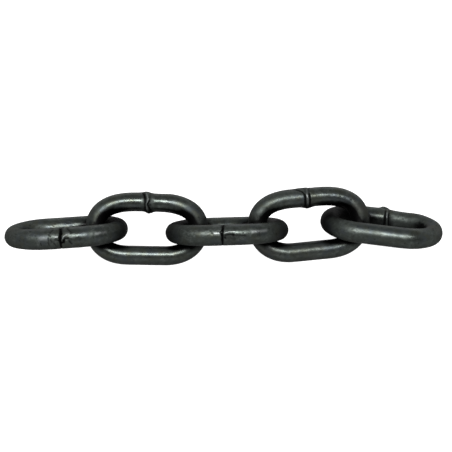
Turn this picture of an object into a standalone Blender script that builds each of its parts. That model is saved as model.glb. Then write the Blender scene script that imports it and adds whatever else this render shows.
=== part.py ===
"""A length of short-link welded steel chain: five interlocked links laid out straight on a level surface.

Run it with blender --background --python part.py, or from the Text Editor. It works in metres with +Z up.
The chain lies along X, and the lowest point of every link is on the plane z = 0.
"""

import math

import bmesh
import bpy
from mathutils import Euler, Vector

MM = 0.001

# The wire is slightly oval, and a little thinner where it is bent round the ends
BAR_WIDTH = 5.5 * MM
BAR_THICKNESS = 5.9 * MM
CROWN_WIDTH = 5.4 * MM
CROWN_THICKNESS = 5.5 * MM

# Clear space inside a link
INSIDE_LENGTH = 24.1 * MM
INSIDE_WIDTH = 9.9 * MM

# Each end is bent along a quarter of a superellipse on either side, longer on the welded side
PLAIN_BEND_LENGTH = 9.7 * MM
PLAIN_BEND_POWER = 2.2
WELDED_BEND_LENGTH = 12.1 * MM
WELDED_BEND_POWER = 2.45

# The weld is a raised collar between two grooves, with a nub of squeezed-out metal inside the link
WELD_HALF_WIDTH = 0.6 * MM
WELD_HEIGHT = 0.3 * MM
WELD_NUB = 0.3 * MM
GROOVE_OFFSET = 1.15 * MM
GROOVE_DEPTH = 0.2 * MM
WELD_REACH = 1.8 * MM

# How the links lie: the middle's place along and across, the turn on the surface, and the lean of the
# link's plane, positive where its far bar is the raised one
LIE = {
    "link_1": {"along": -45.22 * MM, "across": -1.52 * MM, "turn": 5.5, "lean": -34.0, "weld": "near"},
    "link_2": {"along": -22.52 * MM, "across": -0.11 * MM, "turn": -1.6, "lean": 32.9, "weld": "far"},
    "link_3": {"along": 0.26 * MM, "across": -1.36 * MM, "turn": 2.5, "lean": -37.4, "weld": "near"},
    "link_4": {"along": 23.58 * MM, "across": 1.1 * MM, "turn": 7.2, "lean": 40.3, "weld": "far"},
    "link_5": {"along": 44.25 * MM, "across": 1.14 * MM, "turn": -10.0, "lean": -26.2, "weld": "far"},
}

# How each link strays from true: a bar's bow out from the link at its middle, and its slant out at the +X end
STRAY = {
    "link_1": {"welded": (0.48 * MM, -0.05 * MM), "plain": (-0.2 * MM, -0.03 * MM)},
    "link_2": {"welded": (0.06 * MM, -0.07 * MM), "plain": (0.03 * MM, -0.04 * MM)},
    "link_3": {"welded": (0.39 * MM, 0.01 * MM), "plain": (-0.17 * MM, -0.1 * MM)},
    "link_4": {"welded": (-0.19 * MM, -0.1 * MM), "plain": (0.04 * MM, -0.1 * MM)},
    "link_5": {"welded": (0.11 * MM, -0.12 * MM), "plain": (-0.09 * MM, -0.02 * MM)},
}

# The middle link carries its neighbours, and each of them the link beyond it
CARRIER = {"link_2": "link_3", "link_4": "link_3", "link_1": "link_2", "link_5": "link_4"}

SIDES = 16
BEND_STEPS = 12
SHARP_ANGLE = 40.0

HALF_LENGTH = (INSIDE_LENGTH + CROWN_WIDTH) / 2
HALF_WIDTH = (INSIDE_WIDTH + BAR_WIDTH) / 2


def clear_scene():
    for obj in list(bpy.data.objects):
        bpy.data.objects.remove(obj, do_unlink=True)


def dark_steel():
    material = bpy.data.materials.new("dark_steel")
    material.use_nodes = True
    shader = material.node_tree.nodes["Principled BSDF"]
    shader.inputs["Base Color"].default_value = (0.09, 0.10, 0.095, 1.0)
    shader.inputs["Metallic"].default_value = 0.9
    shader.inputs["Roughness"].default_value = 0.38
    return material


def bend(length, power, angle):
    """A point of the centre line between a link's end, at angle 0, and the start of its bar, at 90 degrees."""
    x = HALF_LENGTH - length + length * max(math.cos(angle), 0.0) ** (2 / power)
    y = HALF_WIDTH * math.sin(angle) ** (2 / power)
    return x, y


def quarter(length, power):
    """The bend's points from the end to the bar, leaving out the end itself."""
    angles = [math.pi / 2 * step / BEND_STEPS for step in range(1, BEND_STEPS + 1)]
    return [bend(length, power, angle) for angle in angles]


def weld_swell(offset, inward):
    """How far the surface stands out near the weld; inward is 1 on the side facing the link's middle."""
    distance = abs(offset)
    if distance <= WELD_HALF_WIDTH:
        return WELD_HEIGHT + WELD_NUB * max(inward, 0.0) ** 2
    if distance <= GROOVE_OFFSET:
        return -GROOVE_DEPTH
    return 0.0


def strayed(point, stray):
    """A point of a true link's centre line, moved out or in as this link's bars bow and slant."""
    x, y = point
    side = 1 if y > 0 else -1
    bow, slant = stray["welded" if y > 0 else "plain"]
    inward = 1 - abs(x) / HALF_LENGTH
    arch = inward * inward * (3 - 2 * inward)
    on_bar = min(abs(y) / HALF_WIDTH, 1.0)
    return x, y + side * on_bar * (bow * arch + slant * x / HALF_LENGTH)


def centre_line(stray):
    """Points around the link from its +X end, over the welded bar at +Y and back along the plain bar."""
    welded = quarter(WELDED_BEND_LENGTH, WELDED_BEND_POWER)
    plain = quarter(PLAIN_BEND_LENGTH, PLAIN_BEND_POWER)
    stations = [WELD_REACH, GROOVE_OFFSET, WELD_HALF_WIDTH]
    weld = [(x, HALF_WIDTH) for x in stations + [0.0] + [-x for x in reversed(stations)]]
    points = [(HALF_LENGTH, 0.0)] + welded + weld
    points += [(-x, y) for x, y in reversed(welded)] + [(-HALF_LENGTH, 0.0)]
    points += [(-x, -y) for x, y in plain] + [(0.0, -HALF_WIDTH)]
    points += [(x, -y) for x, y in reversed(plain)]
    return [strayed(point, stray) for point in points]


def crown_share(x):
    """0 on the bars, rising to 1 at the link's ends."""
    start = INSIDE_LENGTH / 2 - HALF_WIDTH / 2
    return min(max((abs(x) - start) / (HALF_LENGTH - start), 0.0), 1.0)


def ring(bm, before, point, after):
    """One cross-section of the wire at a point of the centre line."""
    along = (Vector(after) - Vector(before)).normalized()
    outward = Vector((along.y, -along.x))
    share = crown_share(point[0])
    half_width = (BAR_WIDTH + (CROWN_WIDTH - BAR_WIDTH) * share) / 2
    half_thickness = (BAR_THICKNESS + (CROWN_THICKNESS - BAR_THICKNESS) * share) / 2
    on_weld = point[1] > 0 and abs(point[0]) < WELD_REACH
    verts = []
    for side in range(SIDES):
        angle = 2 * math.pi * side / SIDES
        swell = weld_swell(point[0], -math.cos(angle)) if on_weld else 0.0
        out = (half_width + swell) * math.cos(angle)
        up = (half_thickness + swell) * math.sin(angle)
        verts.append(bm.verts.new((point[0] + out * outward.x, point[1] + out * outward.y, up)))
    return verts


def link_mesh(name, material):
    """The wire swept round the link, with its centre line in the XY plane and the weld on the +Y bar."""
    bm = bmesh.new()
    points = centre_line(STRAY[name])
    count = len(points)
    rings = [ring(bm, points[i - 1], points[i], points[(i + 1) % count]) for i in range(count)]
    for i in range(count):
        this, following = rings[i], rings[(i + 1) % count]
        for side in range(SIDES):
            beside = (side + 1) % SIDES
            bm.faces.new((this[side], this[beside], following[beside], following[side]))
    bmesh.ops.recalc_face_normals(bm, faces=bm.faces)
    mesh = bpy.data.meshes.new(name)
    bm.to_mesh(mesh)
    bm.free()
    mesh.materials.append(material)
    mesh.shade_smooth()
    mesh.set_sharp_from_angle(angle=math.radians(SHARP_ANGLE))
    return mesh


def lay_link(name, mesh):
    """One link in its place, lowered until it touches the surface."""
    lie = LIE[name]
    half_turn = 180.0 if lie["weld"] == "near" else 0.0
    rotation = Euler((math.radians(lie["lean"] + half_turn), 0.0, math.radians(lie["turn"])))
    lowest = min((rotation.to_matrix() @ vert.co).z for vert in mesh.vertices)
    link = bpy.data.objects.new(name, mesh)
    link.rotation_euler = rotation
    link.location = (lie["along"], lie["across"], -lowest)
    bpy.context.scene.collection.objects.link(link)
    return link


def centre_chain(links):
    """Moves the whole chain so that the middle of its box is over the origin."""
    corners = [link.matrix_world @ vert.co for link in links for vert in link.data.vertices]
    middle_x = (min(p.x for p in corners) + max(p.x for p in corners)) / 2
    middle_y = (min(p.y for p in corners) + max(p.y for p in corners)) / 2
    for link in links:
        link.location.x -= middle_x
        link.location.y -= middle_y
    bpy.context.view_layer.update()


def end_of(link, side):
    """The middle of the wire at a link's right end, side 1, or its left end, side -1."""
    return link.matrix_world @ Vector((side * HALF_LENGTH, 0.0, 0.0))


def add_pivot(child, carrier):
    """An empty in the middle of the outer link's own wire, where it hooks through its carrier.

    The outer link turns about the empty's Z axis, which is square to the carrier's plane.
    """
    side = 1 if child.location.x < carrier.location.x else -1
    pivot = bpy.data.objects.new("pivot_of_" + child.name, None)
    pivot.empty_display_size = BAR_WIDTH
    pivot.location = end_of(child, side)
    pivot.rotation_euler = carrier.rotation_euler
    bpy.context.scene.collection.objects.link(pivot)
    return pivot


def keep_place(child, parent):
    """Makes one object the parent of another without moving either."""
    child.parent = parent
    child.matrix_parent_inverse = parent.matrix_world.inverted()


def build():
    clear_scene()
    steel = dark_steel()
    links = {name: lay_link(name, link_mesh(name, steel)) for name in LIE}
    bpy.context.view_layer.update()
    centre_chain(links.values())
    pivots = {name: add_pivot(links[name], links[carrier]) for name, carrier in CARRIER.items()}
    bpy.context.view_layer.update()
    for name, carrier in CARRIER.items():
        keep_place(links[name], pivots[name])
    for name, carrier in CARRIER.items():
        keep_place(pivots[name], links[carrier])
    bpy.context.view_layer.update()


build()
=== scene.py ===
"""The looks of a short length of welded steel chain: five links of bent and butt-welded wire.

Each link is a fine mesh of its wire with a weld of its own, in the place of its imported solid. The shapes
are worked out in millimetres and turned into metres when a link is laid in its place.
"""

import math

import bpy
import numpy as np
from mathutils import Euler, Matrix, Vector, noise
from mathutils.bvhtree import BVHTree


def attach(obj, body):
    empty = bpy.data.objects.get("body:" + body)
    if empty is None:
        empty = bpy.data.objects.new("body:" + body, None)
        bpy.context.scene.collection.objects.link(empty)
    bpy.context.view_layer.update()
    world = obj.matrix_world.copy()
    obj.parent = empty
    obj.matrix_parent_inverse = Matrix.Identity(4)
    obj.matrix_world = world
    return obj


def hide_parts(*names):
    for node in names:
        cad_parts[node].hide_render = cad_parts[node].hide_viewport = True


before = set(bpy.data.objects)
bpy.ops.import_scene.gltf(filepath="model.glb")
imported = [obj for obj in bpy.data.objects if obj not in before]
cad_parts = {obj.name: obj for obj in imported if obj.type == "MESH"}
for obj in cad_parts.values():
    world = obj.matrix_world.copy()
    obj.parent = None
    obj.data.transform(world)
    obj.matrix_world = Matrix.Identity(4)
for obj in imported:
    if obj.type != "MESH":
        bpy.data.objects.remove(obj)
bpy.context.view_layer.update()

MM = 0.001

# The wire: oval, a little thinner where it is bent round the ends
BAR_WIDTH = 5.5
BAR_THICKNESS = 5.9
CROWN_WIDTH = 5.4
CROWN_THICKNESS = 5.5

# The link's middle line: half its length and width, and the two bends, longer on the welded side
HALF_LENGTH = 14.75
HALF_WIDTH = 7.7
PLAIN_BEND = {"length": 9.7, "power": 2.2}
WELDED_BEND = {"length": 12.1, "power": 2.45}
CROWN_START = 8.2

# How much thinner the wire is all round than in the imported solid, to make room for its relief
RELIEF_ROOM = 0.03

# The mesh: rings along the wire, closer together near the weld, and points round each ring
RINGS = 600
SIDES = 96
WELD_REACH = 5.0
WELD_CLOSENESS = 2.2

# How finely the middle line is worked out: points in a bend, steps in which the rings' places are found,
# the least distance between two points, and how far before and after a ring its direction is taken
BEND_POINTS = 400
PLACING_STEPS = 4000
LEAST_STEP = 1e-6
LOOK_AHEAD = 0.15

# Each link's body, its middle in the frame, its turn about the vertical and the lean of its plane in
# degrees, where its weld is, the angle round its welded bar that faces the photographer, how far its welded
# bar and its plain bar bow out at their middles and slant, and at its left and right ends how much painted
# shade blackens its bend, how much the painted shade on the inner side of its bend is strengthened, and how
# high the hammered unevenness of its surface stands
LINKS = {
    "link_1": dict(body="left_end", middle=(-44.716, -1.731, 7.078), turn=5.5, lean=-34.0, weld="near",
                   seen=-11, bow=(0.48, -0.2), slant=(-0.05, -0.03), end_shade=(0.15, 0.8),
                   hollow=(0.2, 1.0), uneven=(0.024, 0.024)),
    "link_2": dict(body="left", middle=(-22.016, -0.321, 7.062), turn=-1.6, lean=32.9, weld="far",
                   seen=101, bow=(0.06, 0.03), slant=(-0.07, -0.04), end_shade=(0.15, 0.4),
                   hollow=(0.6, 0.6), uneven=(0.007, 0.018)),
    "link_3": dict(body="middle", middle=(0.764, -1.571, 7.460), turn=2.5, lean=-37.4, weld="near",
                   seen=-8, bow=(0.39, -0.17), slant=(0.01, -0.1), end_shade=(0.8, 0.8),
                   hollow=(1.0, 1.0), uneven=(0.024, 0.024)),
    "link_4": dict(body="right", middle=(24.084, 0.889, 7.870), turn=7.2, lean=40.3, weld="far",
                   seen=94, bow=(-0.19, 0.04), slant=(-0.1, -0.1), end_shade=(0.15, 0.15),
                   hollow=(0.6, 0.6), uneven=(0.014, 0.022)),
    "link_5": dict(body="right_end", middle=(44.754, 0.929, 6.660), turn=-10.0, lean=-26.2, weld="far",
                   seen=161, bow=(0.11, -0.09), slant=(-0.12, -0.02), end_shade=(0.8, 0.0),
                   hollow=(1.5, 0.4), uneven=(0.018, 0.014)),
}

# Over how much of the link's length a left end's value turns into a right end's, and over how much of its
# width the plain bar's polish turns into the welded bar's
END_BLEND = 6.0
BAR_BLEND = 4.0

# How polished each bar is along its length, from 0 for dull scale to 1: pairs of place and level
SHINE = {
    "link_1": dict(
        welded=[(-12, 0.05), (-8, 0.1), (-6, 0.3), (-4.2, 0.2), (-2.6, 0.55), (-1.6, 0.4), (-0.8, 0.0),
                (0.8, 0.25), (2, 0.8), (4, 0.8), (6.5, 0.3), (8, 0.5), (9.3, 1.0), (11, 0.4)],
        plain=[(-9, 0.0), (-7, 0.2), (-5.5, 0.75), (2, 0.9), (5, 0.8), (9, 0.2)]),
    "link_2": dict(
        welded=[(-14, 0.3), (-13, 0.6), (-11, 0.8), (-2, 1.0), (-1, 0.05), (1.5, 0.05), (2.4, 1.0),
                (6, 0.9), (8, 0.55), (10.4, 0.6), (11.4, 0.1), (13, 0.0)],
        plain=[(-12, 0.9), (-9, 0.9), (-6, 0.65), (-2, 0.8), (4.5, 0.85), (9, 0.85), (12, 0.6)]),
    "link_3": dict(
        welded=[(-11, 0.05), (-8, 0.35), (-5, 0.3), (-3, 0.6), (-2, 0.1), (0, 0.3), (2.5, 0.75),
                (5.5, 0.4), (8, 0.9), (10, 0.5), (12, 0.05)],
        plain=[(-9, 0.2), (0, 0.5), (5, 0.75), (9, 0.6)]),
    "link_4": dict(
        welded=[(-13, 0.1), (-11.5, 0.4), (-9, 0.5), (-1.4, 0.55), (-0.8, 0.2), (0.5, 0.2), (1.4, 0.75),
                (8, 0.85), (11, 1.0), (12.6, 0.9), (13.5, 0.1), (14, 0.0)],
        plain=[(-12, 0.8), (-10, 0.7), (-6, 0.6), (7, 0.6), (11, 0.3)]),
    "link_5": dict(
        welded=[(-6, 0.2), (-2, 0.9), (0, 0.8), (0.6, 0.1), (3, 0.1), (4.6, 0.3), (6.5, 0.05), (12, 0.0)],
        plain=[(-11, 0.0), (-8, 0.05), (-4, 0.45), (-2, 0.4), (0.5, 0.55), (5.5, 0.6), (7, 0.45),
               (8.2, 1.0), (9.8, 1.0), (11, 0.3), (12, 0.1)]),
}

# The welds. Angles are in degrees from the middle of the side that the photographer sees, rising
# downwards, and the rest is in millimetres. A collar is a raised band round the wire: its middle and half
# width along the bar, and its height. A seam runs right round the wire: its places as (angle, along),
# half width, height and stain, from -1 for bright bare metal to 1 for black. Some bright lines are painted
# highlights, and some black ones are painted shade. A stroke is a free line: its points as (along, angle),
# then the same. A mark is an oval: along, angle, half length, half breadth, height.
WELDS = {
    "link_1": dict(
        collar=(0.0, 1.0, 0.0),
        seams=[([(-72, -1.07), (67, -1.2)], 0.24, -0.06, 0.7)],
        strokes=[([(-1.07, -66), (-0.94, -24), (-1.27, -4), (-1.4, 10), (-1.2, 29), (-1.2, 58)],
                  0.28, -0.26, 1.0),
                 ([(-1.05, -84), (-0.95, -30)], 0.6, -0.10, 1.0),
                 ([(-1.15, -20), (-1.3, 14)], 0.42, -0.12, 0.9),
                 ([(0.45, -27), (1.3, -27)], 0.34, 0.05, -0.3),
                 ([(0.75, -19), (0.1, -13), (-0.36, -3), (-0.74, 5), (-0.87, 13)], 0.13, 0.10, -0.9),
                 ([(0.9, 5), (0.1, 3), (-0.22, 12), (-0.35, 25), (-1.2, 31)], 0.26, -0.2, 1.0),
                 ([(-0.3, 14), (-0.4, 24)], 0.36, -0.10, 1.0),
                 ([(1.08, 17), (1.47, 31), (1.75, 40)], 0.28, -0.14, 0.75),
                 ([(0.8, -62), (1.2, -48), (1.8, -33)], 0.28, -0.16, 0.8),
                 ([(-3.7, -38), (-3.0, -56)], 0.24, -0.10, 0.65),
                 ([(-4.15, -28), (-3.85, -16)], 0.2, -0.08, 0.65),
                 ([(-4.3, -3), (-4.35, 15), (-4.25, 38)], 0.16, -0.08, 0.7),
                 ([(-3.75, 8), (-3.4, 20)], 0.17, -0.06, 0.65),
                 ([(-2.97, 26), (-2.58, 42)], 0.17, -0.08, 0.7),
                 ([(-6.3, 22), (-6.2, 36)], 0.15, -0.06, 0.8),
                 ([(-2.5, -9), (-1.95, -9)], 0.26, 0.05, -0.7),
                 ([(-2.6, 9), (-1.8, 12)], 0.26, -0.07, 0.7),
                 # The next two strokes, bright with no height, are painted highlight streaks
                 ([(-6.4, -2), (-4.8, -1)], 0.5, 0.0, -0.5),
                 ([(8.2, -9), (10.2, -11)], 0.36, 0.0, -1.0)],
        marks=[(3.0, -22, 8.0, 1.3, 0.06)]),
    "link_2": dict(
        collar=(0.0, 0.9, 0.08),
        seams=[([(-90, -0.6), (-49, -0.19), (-13, 0.3), (-2, 0.3), (13, -0.11), (24, -0.2), (41, 0.06),
                 (60, 0.1), (180, 0.0)], 0.17, 0.02, -0.2),
               ([(-90, -1.5), (-41, -0.76), (-13, -0.52), (65, -0.6), (180, -0.8)], 0.3, -0.05, 0.35),
               ([(-90, 0.9), (-41, 0.71), (-2, 0.63), (9, 0.3), (20, 0.2), (32, 0.45), (46, 0.71),
                 (65, 0.9), (180, 0.8)], 0.25, -0.05, 0.25)],
        strokes=[([(-0.3, -62), (-0.19, -49), (0.3, -13), (0.3, -2), (-0.11, 13), (-0.2, 24), (0.06, 41),
                   (0.1, 66)], 0.17, 0.07, -0.6),
                 ([(-1.5, -66), (-0.8, -42), (-0.54, -13), (-0.55, 24), (-0.6, 62)], 0.36, -0.10, 0.6),
                 ([(-0.9, -50), (-0.6, -28)], 0.5, -0.04, 0.5),
                 ([(0.75, -48), (0.66, -4)], 0.22, -0.05, 0.15),
                 ([(0.66, -4), (0.3, 9), (0.2, 20), (0.45, 32), (0.75, 46), (0.95, 62)],
                  0.2, -0.16, 1.0),
                 ([(1.05, -40), (0.9, 10), (1.1, 50)], 0.5, -0.04, 0.4),
                 ([(-0.1, -44), (0.28, -16), (0.28, -4)], 0.17, 0.05, -1.0),
                 ([(0.02, 36), (-0.1, 46)], 0.2, 0.06, -0.9),
                 ([(0.0, 68), (0.9, 68)], 0.8, 0.0, 0.8)],
        marks=[(-0.6, -88, 1.3, 1.8, 0.24), (0.55, 86, 1.1, 1.1, 0.5), (3.4, -90, 2.3, 2.2, -0.2)]),
    "link_3": dict(
        collar=(0.0, 1.0, 0.0),
        seams=[([(-90, -1.3), (58, -1.6)], 0.24, -0.05, 0.6)],
        strokes=[([(-1.3, -72), (-1.45, -36), (-1.75, -2), (-1.7, 24), (-1.6, 54)], 0.26, -0.22, 1.0),
                 ([(-1.3, -84), (-1.35, -44)], 0.5, -0.10, 1.0),
                 ([(-1.6, 0), (-1.65, 30)], 0.4, -0.05, 0.7),
                 ([(-1.8, -16), (-1.6, -16)], 0.15, 0.14, -0.8),
                 ([(-1.5, -34), (-2.15, -18), (-1.85, 0)], 0.17, -0.18, 1.0),
                 ([(-0.9, 15), (-0.75, 20)], 0.3, -0.18, 1.0),
                 # Next, a raised line painted bright where the highlight arcs over the weld, partly a
                 # painted highlight, and two shallow hollows darkened under it, partly painted shade
                 ([(-1.0, -8), (-0.46, -15), (0.84, -20), (1.9, -18)], 0.14, 0.05, -0.7),
                 ([(-0.8, 0), (0.6, -4), (1.4, -2)], 0.34, -0.03, 0.9),
                 ([(1.4, 0), (2.8, 4), (4.4, 5)], 0.36, -0.02, 0.8),
                 # The next two strokes, bright with no height, are painted highlight streaks
                 ([(6.4, -13), (9.6, -15)], 0.4, 0.0, -1.0),
                 ([(-3.4, -8), (-2.3, -8)], 0.42, 0.0, -0.4),
                 ([(0.5, 12), (1.4, 20)], 0.6, 0.0, 0.4),
                 ([(-3.7, -12), (-2.6, -12)], 0.3, 0.04, -0.6),
                 ([(-4.6, -28), (-4.2, -10)], 0.17, -0.07, 0.6),
                 ([(-5.4, -8), (-5.2, -8)], 0.14, 0.05, -0.6)],
        marks=[(1.5, -26, 9.0, 1.4, 0.09)]),
    "link_4": dict(
        collar=(0.05, 0.7, 0.04),
        seams=[([(-60, 0.0), (-13, -0.1), (5, 0.05), (60, 0.0)], 0.15, 0.015, -0.2),
               ([(-60, -0.6), (60, -0.6)], 0.22, -0.04, 0.4),
               ([(-60, 0.6), (60, 0.76)], 0.22, -0.04, 0.4)],
        strokes=[([(-3.7, -74), (-2.46, -57), (-1.47, -42), (-0.95, -26), (-0.72, -12), (-0.75, 10),
                   (-0.8, 64)], 0.24, -0.24, 1.0),
                 ([(-3.4, -66), (-1.3, -36)], 0.3, -0.04, 0.8),
                 ([(0.5, -20), (0.62, 9), (0.6, 66)], 0.25, -0.2, 1.0),
                 ([(0.5, -46), (0.5, -26)], 0.2, -0.04, 0.2),
                 ([(0.0, -56), (-0.1, -13), (0.05, 5), (0.0, 60)], 0.15, 0.03, -0.3),
                 # Bare ridge top, made brighter where the lamp's highlight crosses it: partly a painted
                 # highlight
                 ([(-0.25, -16), (-0.1, -2)], 0.24, 0.04, -1.0),
                 ([(0.0, 4), (-0.05, 42)], 0.13, 0.05, -0.5),
                 ([(-0.9, 64), (1.1, 64)], 0.6, 0.0, 0.8)],
        marks=[(-1.3, -92, 1.7, 1.6, 0.16), (0.1, 88, 1.35, 1.1, 0.42)]),
    "link_5": dict(
        collar=(1.3, 0.5, 0.03),
        seams=[([(-60, 1.2), (-10, 1.27), (50, 1.5)], 0.13, 0.07, -0.3),
               ([(-60, 0.7), (50, 0.85)], 0.25, -0.04, 0.3),
               ([(-60, 1.7), (50, 2.1)], 0.22, -0.03, 0.3)],
        # Bare ridge top, made brighter where the lamp's highlight crosses it: partly a painted highlight
        strokes=[([(1.2, -32), (1.27, -8)], 0.22, 0.06, -1.0),
                 ([(1.28, -4), (1.5, 50)], 0.1, 0.07, -0.25),
                 ([(0.68, -50), (0.74, -10), (0.86, 54)], 0.22, -0.18, 0.75),
                 ([(1.72, -36), (1.85, 0), (2.1, 50)], 0.17, -0.18, 0.8),
                 ([(2.3, -24), (2.5, 45)], 0.15, -0.05, 0.5),
                 ([(2.9, -10), (2.9, 40)], 0.4, 0.0, 0.3),
                 ([(-0.7, -66), (0.2, -58), (1.0, -62)], 0.12, 0.07, -0.7),
                 # The next two black strokes with no height are painted shade on the lower side of the far
                 # bar
                 ([(-9.0, 44), (0.4, 44)], 1.5, 0.0, 0.8),
                 ([(2.8, 56), (9.0, 56)], 1.1, 0.0, 0.6)],
        marks=[(0.2, -89, 1.2, 1.0, 0.55), (5.2, -92, 3.6, 2.2, -0.34)]),
}

# A weld is only on the welded bar, which starts at this share of the half width, with a soft edge
WELD_START = 0.8
WELD_EDGE = 0.1

# The tops of raised and hollow shapes, as powers in a bell curve: a line is round, a mark is pointed, and
# a collar and the stretch with closer rings are flat
LINE_TOP = 2
MARK_TOP = 1.3
FLAT_TOP = 4

# The lines of a weld waver: how far along the bar in millimetres, how many degrees round the wire for
# each of those millimetres, and the size of the waver
WAVER = 0.09
WAVER_TURN = 18.0
WAVER_SIZE = 0.5

# The relief of the whole wire: long waves, hammered unevenness and pits, with the size of their features.
# A pit is where its noise falls below a level, is at its deepest a little below that, and is stained.
WAVE_SIZE = 4.5
WAVE_HEIGHT = 0.016
HAMMER_SIZE = 1.15
HAMMER_OCTAVES = 2
PIT_SIZE = 0.75
PIT_DEPTH = 0.035
PIT_LEVEL = 0.45
PIT_EDGE = 0.3
PIT_STAIN = 0.5

# The unevenness that has the whole of the finish's fine bump; smoother wire has less of it
ROUGHEST = 0.024

# Each kind of relief takes its noise from a place of its own, a step further for each link. Where it has
# octaves, each is weaker and finer than the one before.
SEEDS = {"wave": 0, "hammer": 7, "pits": 13, "waver": 31}
SEED_STEP = (17.3, 5.1, -9.7)
OCTAVE_FADE = 0.7
OCTAVE_SCALE = 2.0

# How much of the painted shade on a bend at the link's end is on its sides, and how much more on its outer
# side, and how much of the painted shade in its hollow is on its sides, and how much more on its inner side
END_SHADE_ON_SIDES = 0.4
END_SHADE_OUTSIDE = 0.6
HOLLOW_ON_SIDES = 0.4
HOLLOW_INSIDE = 1.8

# The shelter of each spot, which paints shade into the steel's colour, by rays from every few rings and
# sides: how many, how far they reach, and how far off the surface they start
RING_STRIDE = 5
SIDE_STRIDE = 4
RAYS = 48
NEAR_REACH = 5.0
FAR_REACH = 24.0
RAY_START = 0.05

# Colours of the steel: scaled grey, its lighter and duller patches, the tints of old oil and of bluing,
# bare metal on the welds' ridges, also laid on as painted highlight streaks, and the black of grooves and
# of painted shade where links crowd
GREY = (0.043, 0.050, 0.045)
PALE = (0.100, 0.112, 0.106)
DULL = (0.030, 0.034, 0.031)
BROWN = (0.046, 0.0455, 0.041)
OLIVE = (0.048, 0.052, 0.042)
BLUE = (0.043, 0.050, 0.053)
BARE_METAL_AND_HIGHLIGHT = (0.160, 0.170, 0.168)
BLACK = (0.002, 0.002, 0.002)

# The patterns of the colours. Each is a noise with so many features in a metre, and a stretch of its
# range, which is turned into the share of a colour.
PATTERNS = {
    "pale": dict(scale=420.0, detail=5.0, roughness=0.6, low=0.40, high=0.66),
    "speckle": dict(scale=1900.0, detail=3.0, roughness=0.6, low=0.35, high=0.70),
    "brown": dict(scale=110.0, detail=2.0, roughness=0.5, low=0.50, high=0.68),
    "blue": dict(scale=260.0, detail=2.0, roughness=0.5, low=0.36, high=0.48, to_low=0.85, to_high=0.0),
    "olive": dict(scale=340.0, detail=2.0, roughness=0.5, low=0.54, high=0.66, to_high=0.8),
    "dull": dict(scale=620.0, detail=3.0, roughness=0.6, low=0.34, high=0.46, to_low=0.6, to_high=0.0),
}

# The speckle that the smoothest wire has all over, how much of the brown is on the bars too, and how far
# bare metal and painted highlights hide what is under them
MIDDLE_SPECKLE = 0.5
BROWN_ON_BARS = 0.35
BARE_METAL_AND_HIGHLIGHT_SHARE = 0.85

# How sheltered a spot is where its painted shade starts and where it is black, from close by and from far
# off
NEAR_DARK = (0.11, 0.28)
FAR_DARK = (0.18, 0.44)

# Roughness of dull scale and of polish, how much is added by a full stain and at the bends' ends, and the
# pattern in which it goes up and down
DULL_ROUGHNESS = 0.52
POLISHED_ROUGHNESS = 0.26
STAIN_ROUGHNESS = 0.25
CROWN_ROUGHNESS = 0.10
UNEVEN_ROUGHNESS = dict(scale=700.0, detail=4.0, roughness=0.6, low=0.3, high=0.7, to_low=-0.05,
                        to_high=0.05)
STEEL_METALLIC = 0.96

# The grain of the steel, too fine for the mesh: its two noises, the finer one's share, and the bump's
# strength and height in metres
FINE_GRAIN = dict(scale=2600.0, detail=4.0, roughness=0.65)
COARSE_GRAIN = dict(scale=900.0, detail=3.0, roughness=0.6)
FINE_GRAIN_SHARE = 0.4
GRAIN_STRENGTH = 0.4
GRAIN_HEIGHT = 0.00004

# The camera, where the photograph was taken from: the point it aims at, its distance from there, its
# angle above the level, its lens and sensor, and in metres how near and how far it sees
AIM = (0.5, -0.08, 7.93)
CAMERA_DISTANCE = 360.0
CAMERA_ELEVATION = 45.3
FOCAL_LENGTH = 101.0
SENSOR_WIDTH = 36.0
CAMERA_REACH = (0.01, 50.0)

# The floor in metres: its size, and how far below the chain it lies, to clear links that swing down at
# a crossing
FLOOR_SIZE = 6.0
FLOOR_DROP = 0.025

# The floor's finish: grey with a glow of its own, so that it is evenly pale
FLOOR_SOCKETS = {
    "Base Color": (0.5, 0.5, 0.5, 1.0),
    "Roughness": 0.9,
    "Specular IOR Level": 0.1,
    "Emission Color": (1.0, 1.0, 1.0, 1.0),
    "Emission Strength": 0.78,
}

# Light from the studio in front of the chain and behind it, its level against the sine of the height, and
# how far to either side of the middle the one turns into the other
FRONT_LIGHT = [(-1.0, 0.35), (-0.66, 0.55), (-0.2, 0.95), (0.1, 0.8), (0.42, 0.28), (0.82, 0.4),
               (1.0, 0.52)]
BACK_LIGHT = [(-1.0, 0.1), (-0.4, 0.2), (-0.1, 0.45), (0.15, 1.0), (0.42, 0.9), (0.82, 0.52), (1.0, 0.52)]
LIGHT_BLEND = 0.3

# Soft boxes in front of and above the chain: name, azimuth, elevation, breadth, height and power; and how
# far from the chain they hang, in metres
SOFT_BOXES = [("key_light", -9.0, 61.0, 0.44, 0.16, 6.0), ("side_light", 24.0, 60.0, 0.34, 0.16, 0.7)]
LIGHT_DISTANCE = 0.75


def smooth(x):
    """A soft step: 0 up to 0, 1 from 1, and an S curve between them."""
    x = np.clip(x, 0.0, 1.0)
    return x * x * (3 - 2 * x)


def bell(x, power):
    """1 where x is 0, and almost nothing well beyond 1; a higher power has a flatter top."""
    return np.exp(-(np.abs(x) ** power))


def profile(pairs, places, **settings):
    """Values at the places, in straight stretches between the pairs of place and value."""
    at, values = zip(*pairs)
    return np.interp(places, at, values, **settings)


def every_side(values):
    """A value for each ring, repeated for each of its points."""
    return np.repeat(values[:, None], SIDES, axis=1)


def between_ends(pair, x):
    """A value at each point that goes from the left end's to the right end's over the link's middle."""
    left, right = pair
    return every_side(left + (right - left) * smooth((x + END_BLEND / 2) / END_BLEND))


def quarter(form):
    """A bend's middle line, from the link's end to the start of its bar."""
    length, power = form["length"], form["power"]
    angle = np.linspace(0, math.pi / 2, BEND_POINTS)
    x = HALF_LENGTH - length + length * np.cos(angle).clip(0) ** (2 / power)
    y = HALF_WIDTH * np.sin(angle) ** (2 / power)
    return x, y


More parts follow.
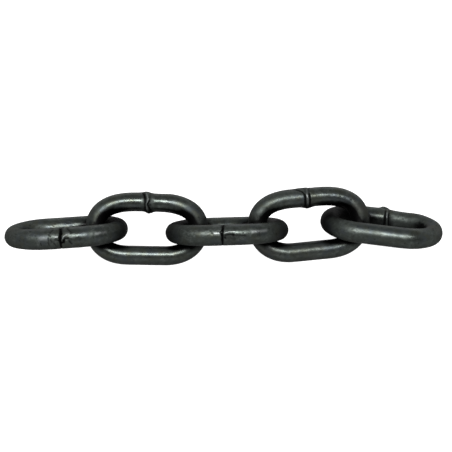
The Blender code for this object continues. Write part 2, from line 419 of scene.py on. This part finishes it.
def middle_line(link):
    """The wire's middle line, closed: from the +X end over the welded bar at +Y, back along the plain."""
    weld_x, weld_y = quarter(WELDED_BEND)
    plain_x, plain_y = quarter(PLAIN_BEND)
    x = np.concatenate([weld_x, -weld_x[::-1], -plain_x[1:], plain_x[::-1][:-1]])
    y = np.concatenate([weld_y, weld_y[::-1], -plain_y[1:], -plain_y[::-1][:-1]])
    arch = smooth(1 - np.abs(x) / HALF_LENGTH)
    welded_side = np.clip(y / HALF_WIDTH, 0, 1)
    plain_side = np.clip(-y / HALF_WIDTH, 0, 1)
    welded_bow, plain_bow = link["bow"]
    welded_slant, plain_slant = link["slant"]
    y = y + welded_side * (welded_bow * arch + welded_slant * x / HALF_LENGTH)
    y = y - plain_side * (plain_bow * arch + plain_slant * x / HALF_LENGTH)
    return np.append(x, x[0]), np.append(y, y[0])


def ring_places(total, weld_at):
    """Distances along the middle line at which rings stand, closer together near the weld."""
    fine = np.linspace(0, total, PLACING_STEPS)
    density = 1 + (WELD_CLOSENESS - 1) * bell((fine - weld_at) / WELD_REACH, FLAT_TOP)
    count = np.concatenate([[0], np.cumsum((density[1:] + density[:-1]) / 2)])
    return np.interp(np.linspace(0, count[-1], RINGS, endpoint=False), count, fine)


def change_at(places, along, values):
    """How much the values change from just before each place on a closed line to just after it."""
    ahead = np.interp(places + LOOK_AHEAD, along, values, period=along[-1])
    behind = np.interp(places - LOOK_AHEAD, along, values, period=along[-1])
    return ahead - behind


class Wire:
    """One link's wire: the places and directions of its rings, and its plain surface."""

    def __init__(self, link):
        x, y = middle_line(link)
        keep = np.append(True, np.hypot(np.diff(x), np.diff(y)) > LEAST_STEP)
        x, y = x[keep], y[keep]
        along = np.append(0, np.cumsum(np.hypot(np.diff(x), np.diff(y))))
        half = len(x) // 2
        at = ring_places(along[-1], np.interp(0, -x[:half], along[:half]))
        self.x, self.y = np.interp(at, along, x), np.interp(at, along, y)
        tx, ty = change_at(at, along, x), change_at(at, along, y)
        self.tx, self.ty = tx / np.hypot(tx, ty), ty / np.hypot(tx, ty)
        self.crown = smooth((np.abs(self.x) - CROWN_START) / (HALF_LENGTH - CROWN_START))
        self.half_width = (BAR_WIDTH + (CROWN_WIDTH - BAR_WIDTH) * self.crown) / 2
        self.half_thickness = (BAR_THICKNESS + (CROWN_THICKNESS - BAR_THICKNESS) * self.crown) / 2
        self.angle = np.arange(SIDES) * 2 * math.pi / SIDES

    def surface(self, swell):
        """The surface's points, ring by ring, standing out from the plain wire by the swell."""
        cos, sin = np.cos(self.angle)[None, :], np.sin(self.angle)[None, :]
        out = (self.half_width[:, None] + swell) * cos
        up = (self.half_thickness[:, None] + swell) * sin
        x = self.x[:, None] + out * self.ty[:, None]
        y = self.y[:, None] - out * self.tx[:, None]
        return np.stack([x, y, up], axis=-1)


def distance_to_line(u, v, line):
    """Distance from each point of the unrolled surface to a line of straight stretches."""
    nearest = np.full(u.shape, np.inf)
    for (u0, v0), (u1, v1) in zip(line, line[1:]):
        du, dv = u1 - u0, v1 - v0
        share = np.clip(((u - u0) * du + (v - v0) * dv) / (du * du + dv * dv), 0, 1)
        nearest = np.minimum(nearest, np.hypot(u - u0 - share * du, v - v0 - share * dv))
    return nearest


def signed_degrees(angle):
    """An angle in degrees, brought between -180 and 180."""
    return (angle + 180) % 360 - 180


def weld_relief(weld, along, angle, radius):
    """Height of the weld over the plain wire, and its stain and painted light, for places along the bar and
    seen angles.
    """
    middle, half, rise = weld["collar"]
    height = rise * bell((along - middle) / half, FLAT_TOP)
    stain_and_painted_light = np.zeros_like(height)
    for places, half, rise, darkness in weld["seams"]:
        share = bell((along - profile(places, angle, period=360)) / half, LINE_TOP)
        height = height + rise * share
        stain_and_painted_light = stain_and_painted_light + darkness * share
    v = np.radians(angle) * radius
    for points, half, rise, darkness in weld["strokes"]:
        line = [(place, math.radians(seen) * BAR_WIDTH / 2) for place, seen in points]
        share = bell(distance_to_line(along, v, line) / half, LINE_TOP)
        height = height + rise * share
        stain_and_painted_light = stain_and_painted_light + darkness * share
    for place, seen, half_length, half_breadth, rise in weld["marks"]:
        gap = np.radians(signed_degrees(angle - seen)) * radius
        reach = ((along - place) / half_length) ** 2 + (gap / half_breadth) ** 2
        height = height + rise * bell(reach, MARK_TOP)
    return height, stain_and_painted_light


def field(points, size, seed, octaves=1):
    """Noise from -1 to 1 at the points, with features about so many millimetres in size."""
    shift = Vector([seed * step for step in SEED_STEP])
    places = [Vector(point) / size + shift for point in points.reshape(-1, 3)]
    if octaves == 1:
        values = [noise.noise(place) for place in places]
    else:
        values = [noise.fractal(place, OCTAVE_FADE, OCTAVE_SCALE, octaves) for place in places]
    return np.array(values).reshape(points.shape[:-1])


def weld_on_bar(name, number, wire, plain):
    """The height of a link's weld at each point of its wire, its stain and painted light, and none away
    from its bar.
    """
    waver = WAVER * field(plain, WAVER_SIZE, number + SEEDS["waver"])
    seen = signed_degrees(np.degrees(wire.angle)[None, :] - LINKS[name]["seen"]) + WAVER_TURN * waver
    radius = (wire.half_width + wire.half_thickness)[:, None] / 2
    height, stain_and_painted_light = weld_relief(WELDS[name], every_side(wire.x) + waver, seen, radius)
    on_bar = smooth((wire.y - WELD_START * HALF_WIDTH) / (WELD_EDGE * HALF_WIDTH))[:, None]
    return on_bar * height, on_bar * stain_and_painted_light


def pits_at(plain, number):
    """Where the surface is pitted, from 0 to 1 at the bottom of a pit."""
    level = field(plain, PIT_SIZE, number + SEEDS["pits"])
    return smooth((np.abs(level) - PIT_LEVEL) / PIT_EDGE) * (level < 0)


def polish_at(name, wire):
    """How polished each ring is, from its place along the plain or the welded bar."""
    on_welded = smooth((wire.y + BAR_BLEND / 2) / BAR_BLEND)
    welded, plain = (profile(SHINE[name][bar], wire.x) for bar in ("welded", "plain"))
    return on_welded * welded + (1 - on_welded) * plain


def link_surface(name, number, wire):
    """One link's points in its own frame, ring by ring, and what its finish needs to know at each."""
    link = LINKS[name]
    plain = wire.surface(0.0)
    height, stain_and_painted_light = weld_on_bar(name, number, wire, plain)
    wave = field(plain, WAVE_SIZE, number + SEEDS["wave"])
    hammer = field(plain, HAMMER_SIZE, number + SEEDS["hammer"], HAMMER_OCTAVES)
    pits = pits_at(plain, number)
    uneven = between_ends(link["uneven"], wire.x)
    relief = WAVE_HEIGHT * wave + uneven * hammer - PIT_DEPTH * pits

    outer = np.cos(wire.angle)[None, :].clip(0)
    inner = -np.cos(wire.angle)[None, :].clip(max=0)
    crown = every_side(wire.crown)
    end_shade = between_ends(link["end_shade"], wire.x)
    hollow = between_ends(link["hollow"], wire.x)
    facts = {
        "stain_and_painted_light": np.clip(stain_and_painted_light, 0, 1) + PIT_STAIN * pits,
        "bare_metal_and_highlight": np.clip(-stain_and_painted_light, 0, 1),
        "crown": crown,
        # Painted shade on the bends' ends, and how much the shelter's painted shade is strengthened inside
        # the bends
        "end_shade": end_shade * crown * (END_SHADE_ON_SIDES + END_SHADE_OUTSIDE * outer),
        "hollow": 1 + crown * hollow * (HOLLOW_ON_SIDES + HOLLOW_INSIDE * inner),
        "rugged": uneven / ROUGHEST,
        "shine": every_side(polish_at(name, wire)),
    }
    return wire.surface(height + relief - RELIEF_ROOM), facts


def laid(points, link):
    """Points of a link's own frame, in its place in the chain."""
    half_turn = 180.0 if link["weld"] == "near" else 0.0
    rotation = Euler((math.radians(link["lean"] + half_turn), 0.0, math.radians(link["turn"])))
    return points @ np.array(rotation.to_matrix()).T + np.array(link["middle"])


def grid_faces(rings, sides):
    """Four-cornered faces between each ring and the next, and round each ring."""
    ring = np.arange(rings)[:, None] * sides
    following = (np.arange(rings)[:, None] + 1) % rings * sides
    side = np.arange(sides)[None, :]
    beside = (side + 1) % sides
    corners = [ring + side, ring + beside, following + beside, following + side]
    return np.stack(np.broadcast_arrays(*corners), axis=-1).reshape(-1, 4)


def fan_of_rays():
    """Directions over a half sphere round +Z, more of them near +Z."""
    index = np.arange(RAYS) + 0.5
    radius = np.sqrt(index / RAYS)
    turn = index * math.pi * (3 - math.sqrt(5))
    return np.stack([radius * np.cos(turn), radius * np.sin(turn), np.sqrt(1 - radius**2)], axis=-1)


def coarse_normals(points):
    """The surface's outward direction at each point of a grid of rings."""
    around = np.roll(points, -1, axis=1) - np.roll(points, 1, axis=1)
    onward = np.roll(points, -1, axis=0) - np.roll(points, 1, axis=0)
    normals = np.cross(onward, around)
    return normals / np.linalg.norm(normals, axis=-1, keepdims=True)


def shelter_at(tree, spot, normal, fan):
    """How crowded it is close to a spot of the surface, and what share of its view the links fill."""
    basis = np.array(Vector(normal).to_track_quat("Z", "Y").to_matrix())
    start = Vector(spot + RAY_START * normal)
    hits = [tree.ray_cast(start, Vector(ray), FAR_REACH)[3] for ray in fan @ basis.T]
    gaps = np.array([FAR_REACH if hit is None else hit for hit in hits])
    return np.mean(np.clip(1 - gaps / NEAR_REACH, 0, 1)), np.mean(gaps < FAR_REACH)


def shelter_of_links(wires):
    """For each link, the two shelters of each coarse spot, as two grids."""
    coarse = {}
    for name, link in LINKS.items():
        coarse[name] = laid(wires[name].surface(0.0), link)[::RING_STRIDE, ::SIDE_STRIDE]
    shape = next(iter(coarse.values())).shape[:2]
    points = np.concatenate([grid.reshape(-1, 3) for grid in coarse.values()])
    faces = grid_faces(*shape)
    every_face = np.concatenate([faces + k * shape[0] * shape[1] for k in range(len(coarse))])
    tree = BVHTree.FromPolygons(points.tolist(), every_face.tolist())
    fan = fan_of_rays()
    result = {}
    for name, grid in coarse.items():
        spots = zip(grid.reshape(-1, 3), coarse_normals(grid).reshape(-1, 3))
        shelters = np.array([shelter_at(tree, spot, normal, fan) for spot, normal in spots])
        result[name] = [column.reshape(shape) for column in shelters.T]
    return result


def refined(coarse):
    """Values on the coarse grid, filled in for every ring and side."""
    rings, sides = np.arange(RINGS), np.arange(SIDES)
    by_ring = [np.interp(rings, rings[::RING_STRIDE], column, period=RINGS) for column in coarse.T]
    rows = np.array(by_ring).T
    return np.array([np.interp(sides, sides[::SIDE_STRIDE], row, period=SIDES) for row in rows])


def make_link(name, number, material, wire, shelter):
    """One link's mesh in its place, with what its finish needs at each point, on the link's body."""
    link = LINKS[name]
    points, facts = link_surface(name, number, wire)
    facts["near_shelter"], facts["far_shelter"] = (refined(values) for values in shelter)
    facts["far_shelter"] = facts["far_shelter"] * facts.pop("hollow")
    placed = laid(points.reshape(-1, 3), link) * MM
    mesh = bpy.data.meshes.new(name + "_steel")
    mesh.from_pydata(placed.tolist(), [], grid_faces(RINGS, SIDES).tolist())
    for label, values in facts.items():
        attribute = mesh.attributes.new(label, "FLOAT", "POINT")
        attribute.data.foreach_set("value", values.ravel().astype(np.float32))
    mesh.materials.append(material)
    mesh.shade_smooth()
    mesh.update()
    piece = bpy.data.objects.new(name + "_steel", mesh)
    bpy.context.scene.collection.objects.link(piece)
    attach(piece, link["body"])
    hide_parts(name)


class Nodes:
    """Short calls for building the nodes of a material or of the studio's light."""

    def __init__(self, owner, last):
        owner.use_nodes = True
        self.tree = owner.node_tree
        self.shader = self.tree.nodes[last]

    def add(self, kind, inputs=None, **settings):
        node = self.tree.nodes.new(kind)
        for key, value in settings.items():
            setattr(node, key, value)
        for key, value in (inputs or {}).items():
            if isinstance(value, bpy.types.NodeSocket):
                self.tree.links.new(value, node.inputs[key])
            else:
                node.inputs[key].default_value = value
        return node

    def noise(self, coordinates, scale, detail, roughness):
        inputs = {"Vector": coordinates, "Scale": scale, "Detail": detail, "Roughness": roughness}
        return self.add("ShaderNodeTexNoise", inputs).outputs["Fac"]

    def pattern(self, coordinates, scale, detail, roughness, **stretch):
        return self.remap(self.noise(coordinates, scale, detail, roughness), **stretch)

    def fact(self, label):
        return self.add("ShaderNodeAttribute", attribute_name=label).outputs["Fac"]

    def remap(self, value, low, high, to_low=0.0, to_high=1.0):
        inputs = {"Value": value, "From Min": low, "From Max": high, "To Min": to_low, "To Max": to_high}
        return self.add("ShaderNodeMapRange", inputs, clamp=True).outputs["Result"]

    def maths(self, operation, a, b):
        return self.add("ShaderNodeMath", {0: a, 1: b}, operation=operation).outputs["Value"]

    def mix(self, factor, a, b):
        node = self.add("ShaderNodeMix", {"Factor": factor}, data_type="RGBA")
        for socket, value in ((node.inputs["A"], a), (node.inputs["B"], b)):
            if isinstance(value, bpy.types.NodeSocket):
                self.tree.links.new(value, socket)
            else:
                socket.default_value = (*value, 1.0)
        return node.outputs["Result"]

    def grey_ramp(self, sine, levels):
        """Greys against a sine, from -1 at the ramp's left end to 1 at its right."""
        ramp = self.add("ShaderNodeValToRGB", {"Fac": self.remap(sine, -1.0, 1.0)})
        stops = ramp.color_ramp.elements
        while len(stops) < len(levels):
            stops.new(0.5)
        for stop, (place, level) in zip(stops, levels):
            stop.position = (place + 1) / 2
            stop.color = (level, level, level, 1.0)
        return ramp.outputs["Color"]

    def drive(self, socket, value):
        self.tree.links.new(value, self.shader.inputs[socket])


def steel_colour(n, place):
    """Patches and tints of the scaled steel, blackened in grooves, painted shade where links crowd, and
    bare metal on ridges with painted highlight streaks.
    """
    shares = {name: n.pattern(place, **settings) for name, settings in PATTERNS.items()}
    off_middle = n.maths("SUBTRACT", shares["speckle"], MIDDLE_SPECKLE)
    speckle = n.maths("ADD", n.maths("MULTIPLY", off_middle, n.fact("rugged")), MIDDLE_SPECKLE)
    brown_here = n.remap(n.fact("crown"), 0.0, 1.0, BROWN_ON_BARS, 1.0)
    contact_shade = n.remap(n.fact("near_shelter"), *NEAR_DARK)
    shade = n.remap(n.fact("far_shelter"), *FAR_DARK)

    colour = n.mix(n.maths("MULTIPLY", shares["pale"], speckle), GREY, PALE)
    colour = n.mix(n.maths("MULTIPLY", shares["brown"], brown_here), colour, BROWN)
    colour = n.mix(shares["blue"], colour, BLUE)
    colour = n.mix(shares["olive"], colour, OLIVE)
    colour = n.mix(shares["dull"], colour, DULL)
    # Painted shade on the bends' ends that lie in the next link
    colour = n.mix(n.fact("end_shade"), colour, BLACK)
    # Painted shade: black where links crowd close to a spot or fill much of its view
    colour = n.mix(n.maths("MAXIMUM", contact_shade, shade), colour, BLACK)
    # Bright bare metal on weld ridges, and painted highlight streaks
    colour = n.mix(n.maths("MULTIPLY", n.fact("bare_metal_and_highlight"), BARE_METAL_AND_HIGHLIGHT_SHARE), colour, BARE_METAL_AND_HIGHLIGHT)
    # Black in grooves, pits and stains, and painted shade on some bars
    return n.mix(n.maths("MINIMUM", n.fact("stain_and_painted_light"), 1.0), colour, BLACK)


def steel_roughness(n, place):
    """Rough where the scale is dull, in stains and at the bends' ends, and smooth where it is polished."""
    rough = n.pattern(place, **UNEVEN_ROUGHNESS)
    rough = n.maths("ADD", rough, n.remap(n.fact("shine"), 0.0, 1.0, DULL_ROUGHNESS, POLISHED_ROUGHNESS))
    rough = n.maths("ADD", rough, n.maths("MULTIPLY", n.fact("stain_and_painted_light"), STAIN_ROUGHNESS))
    return n.maths("ADD", rough, n.maths("MULTIPLY", n.fact("crown"), CROWN_ROUGHNESS))


def steel_grain(n, place):
    """The direction of the surface with its fine grain, weaker where the wire is smooth."""
    fine = n.maths("MULTIPLY", n.noise(place, **FINE_GRAIN), FINE_GRAIN_SHARE)
    both = n.maths("ADD", fine, n.noise(place, **COARSE_GRAIN))
    height = n.maths("MULTIPLY", both, n.fact("rugged"))
    inputs = {"Height": height, "Strength": GRAIN_STRENGTH, "Distance": GRAIN_HEIGHT}
    return n.add("ShaderNodeBump", inputs).outputs["Normal"]


def dark_steel():
    material = bpy.data.materials.new("dark_oiled_steel")
    n = Nodes(material, "Principled BSDF")
    place = n.add("ShaderNodeTexCoord").outputs["Object"]
    n.drive("Base Color", steel_colour(n, place))
    n.drive("Roughness", steel_roughness(n, place))
    n.drive("Normal", steel_grain(n, place))
    n.shader.inputs["Metallic"].default_value = STEEL_METALLIC
    return material


def floor_material():
    material = bpy.data.materials.new("studio_floor")
    n = Nodes(material, "Principled BSDF")
    for socket, value in FLOOR_SOCKETS.items():
        n.shader.inputs[socket].default_value = value
    return material


def make_floor():
    mesh = bpy.data.meshes.new("studio_floor")
    half = FLOOR_SIZE / 2
    corners = [(-half, -half), (half, -half), (half, half), (-half, half)]
    mesh.from_pydata([(x, y, -FLOOR_DROP) for x, y in corners], [], [(0, 1, 2, 3)])
    mesh.materials.append(floor_material())
    floor = bpy.data.objects.new("studio_floor", mesh)
    bpy.context.scene.collection.objects.link(floor)
    floor.visible_diffuse = False
    floor.visible_glossy = False


def aim_at(obj, place, target):
    obj.location = place
    obj.rotation_euler = (target - place).to_track_quat("-Z", "Y").to_euler()


def direction(azimuth, elevation):
    """The direction of a point seen from the chain, azimuth 0 on the camera's side, 90 on the right."""
    a, e = math.radians(azimuth), math.radians(elevation)
    return Vector((math.sin(a) * math.cos(e), -math.cos(a) * math.cos(e), math.sin(e)))


def soft_light(name, azimuth, elevation, breadth, height, power):
    data = bpy.data.lights.new(name, "AREA")
    data.shape = "RECTANGLE"
    data.size = breadth
    data.size_y = height
    data.energy = power
    light = bpy.data.objects.new(name, data)
    bpy.context.scene.collection.objects.link(light)
    aim_at(light, direction(azimuth, elevation) * LIGHT_DISTANCE, Vector((0, 0, 0)))


def make_studio():
    """The even light from all round, shaded from the horizon up and from front to back."""
    world = bpy.data.worlds.new("studio")
    bpy.context.scene.world = world
    n = Nodes(world, "Background")
    place = n.add("ShaderNodeTexCoord").outputs["Generated"]
    split = n.add("ShaderNodeSeparateXYZ", {"Vector": place})
    front, back = (n.grey_ramp(split.outputs["Z"], levels) for levels in (FRONT_LIGHT, BACK_LIGHT))
    behind = n.remap(split.outputs["Y"], -LIGHT_BLEND, LIGHT_BLEND)
    n.drive("Color", n.mix(behind, front, back))


def make_camera():
    data = bpy.data.cameras.new("camera")
    data.lens = FOCAL_LENGTH
    data.sensor_width = SENSOR_WIDTH
    data.sensor_fit = "HORIZONTAL"
    data.clip_start, data.clip_end = CAMERA_REACH
    camera = bpy.data.objects.new("camera", data)
    bpy.context.scene.collection.objects.link(camera)
    target = Vector(AIM) * MM
    aim_at(camera, target + direction(0.0, CAMERA_ELEVATION) * CAMERA_DISTANCE * MM, target)
    bpy.context.scene.camera = camera


def make_chain():
    steel = dark_steel()
    wires = {name: Wire(link) for name, link in LINKS.items()}
    shelters = shelter_of_links(wires)
    for number, name in enumerate(LINKS):
        make_link(name, number, steel, wires[name], shelters[name])


make_camera()
for soft_box in SOFT_BOXES:
    soft_light(*soft_box)
make_studio()
make_floor()
make_chain()

bpy.context.scene.view_settings.view_transform = "Standard"
